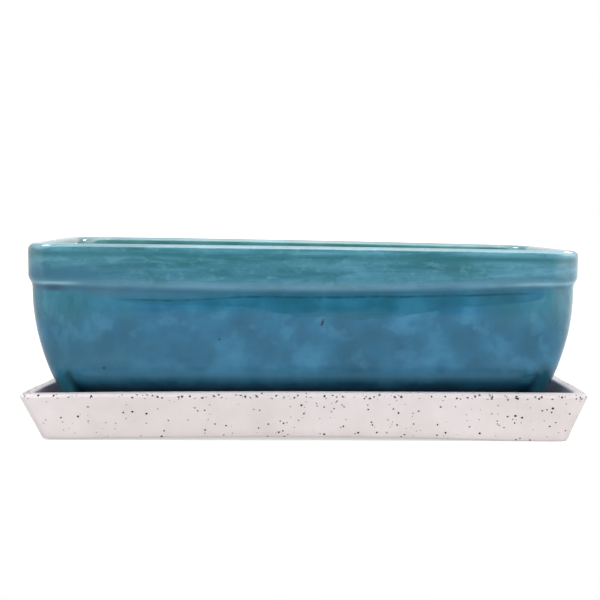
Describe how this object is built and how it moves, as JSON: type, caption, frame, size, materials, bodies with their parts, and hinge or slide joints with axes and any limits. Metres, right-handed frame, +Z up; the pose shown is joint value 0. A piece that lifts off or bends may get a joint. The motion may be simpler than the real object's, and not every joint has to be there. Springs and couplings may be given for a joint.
{
  "type": "rectangular planter with saucer",
  "caption": "Rectangular glazed ceramic planter with a proud rim band, bellied walls and corner feet, standing in a speckled saucer with outward leaning walls.",
  "frame": {"origin": "on the ground under the middle of the saucer", "axes": "+X along the planter's length to the right as seen from the front, +Y to the back, +Z up"},
  "size_m": [0.304, 0.154, 0.1066],
  "materials": {
    "blue_glaze": "glossy mottled teal blue glaze",
    "speckled_glaze": "satin warm white glaze with dark speckles",
    "screen_plastic": "matt moulded",
    "pad_rubber": "matt"
  },
  "bodies": {
    "saucer": {"saucer": "speckled_glaze", "saucer_pad_front_left": "pad_rubber", "saucer_pad_front_right": "pad_rubber", "saucer_pad_back_left": "pad_rubber", "saucer_pad_back_right": "pad_rubber"},
    "pot": {"pot": "blue_glaze"},
    "screen_left": {"drain_screen_left": "screen_plastic"},
    "screen_middle": {"drain_screen_middle": "screen_plastic"},
    "screen_right": {"drain_screen_right": "screen_plastic"}
  },
  "joints": [
    {"name": "pot_lift", "type": "slide", "parent": "saucer", "child": "pot", "axis": [0, 0, 1], "range_m": [0, 0.06]},
    {"name": "screen_left_lift", "type": "slide", "parent": "pot", "child": "screen_left", "axis": [0, 0, 1], "range_m": [0, 0.09]},
    {"name": "screen_middle_lift", "type": "slide", "parent": "pot", "child": "screen_middle", "axis": [0, 0, 1], "range_m": [0, 0.09]},
    {"name": "screen_right_lift", "type": "slide", "parent": "pot", "child": "screen_right", "axis": [0, 0, 1], "range_m": [0, 0.09]}
  ]
}
